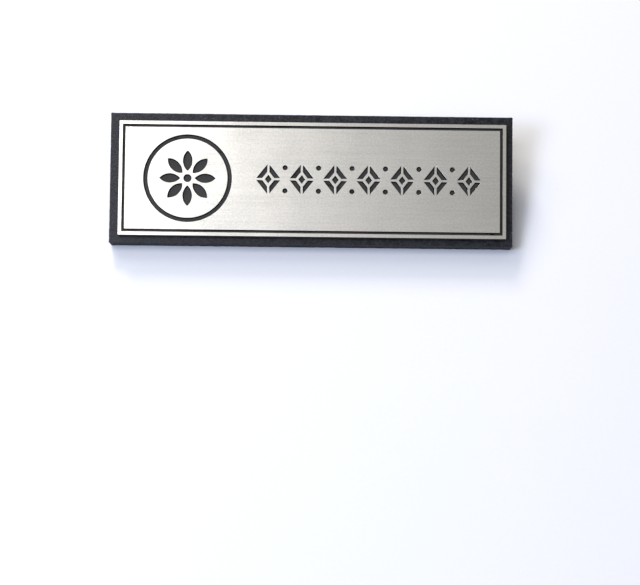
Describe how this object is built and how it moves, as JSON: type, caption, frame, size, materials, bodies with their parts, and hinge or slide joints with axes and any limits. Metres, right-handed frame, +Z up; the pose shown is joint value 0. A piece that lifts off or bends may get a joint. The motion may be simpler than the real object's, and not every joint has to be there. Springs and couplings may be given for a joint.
{
  "type": "name plate badge with sprung pin",
  "caption": "Rectangular black badge with a brushed silver face, an engraved ring, rosette and lozenge band, and a white pin bar with a sprung steel pin on its back.",
  "frame": {"origin": "on the surface that the badge lies on, under the middle of its box", "axes": "+X along the badge's length to the right as its face is read, +Y towards the raised upper edge, +Z up; the face looks up and leans back from the reader's side by about 16 degrees"},
  "size_m": [0.075, 0.0244, 0.0103],
  "materials": {
    "black_acrylic": "satin, lightly scuffed",
    "black_core": "matt, as cut by the engraver",
    "silver_skin": "fine horizontal brushing",
    "white_plastic": "moulded, soft gloss",
    "spring_wire": "drawn wire, slightly tarnished",
    "needle_steel": "polished wire"
  },
  "bodies": {
    "badge": {"back_plate": "black_acrylic", "engraving_core": "black_core", "silver_rim": "silver_skin", "silver_panel": "silver_skin", "silver_medallion": "silver_skin", "pin_bar": "white_plastic", "spring_coil": "spring_wire"},
    "pin": {"needle": "needle_steel"}
  },
  "joints": [
    {"name": "needle_turn", "type": "hinge", "parent": "badge", "child": "pin", "pos_m": [-0.01341, 0.00854, 0.00161], "axis": [0.9505, -0.0948, -0.2961], "range_deg": [0, 180]}
  ]
}
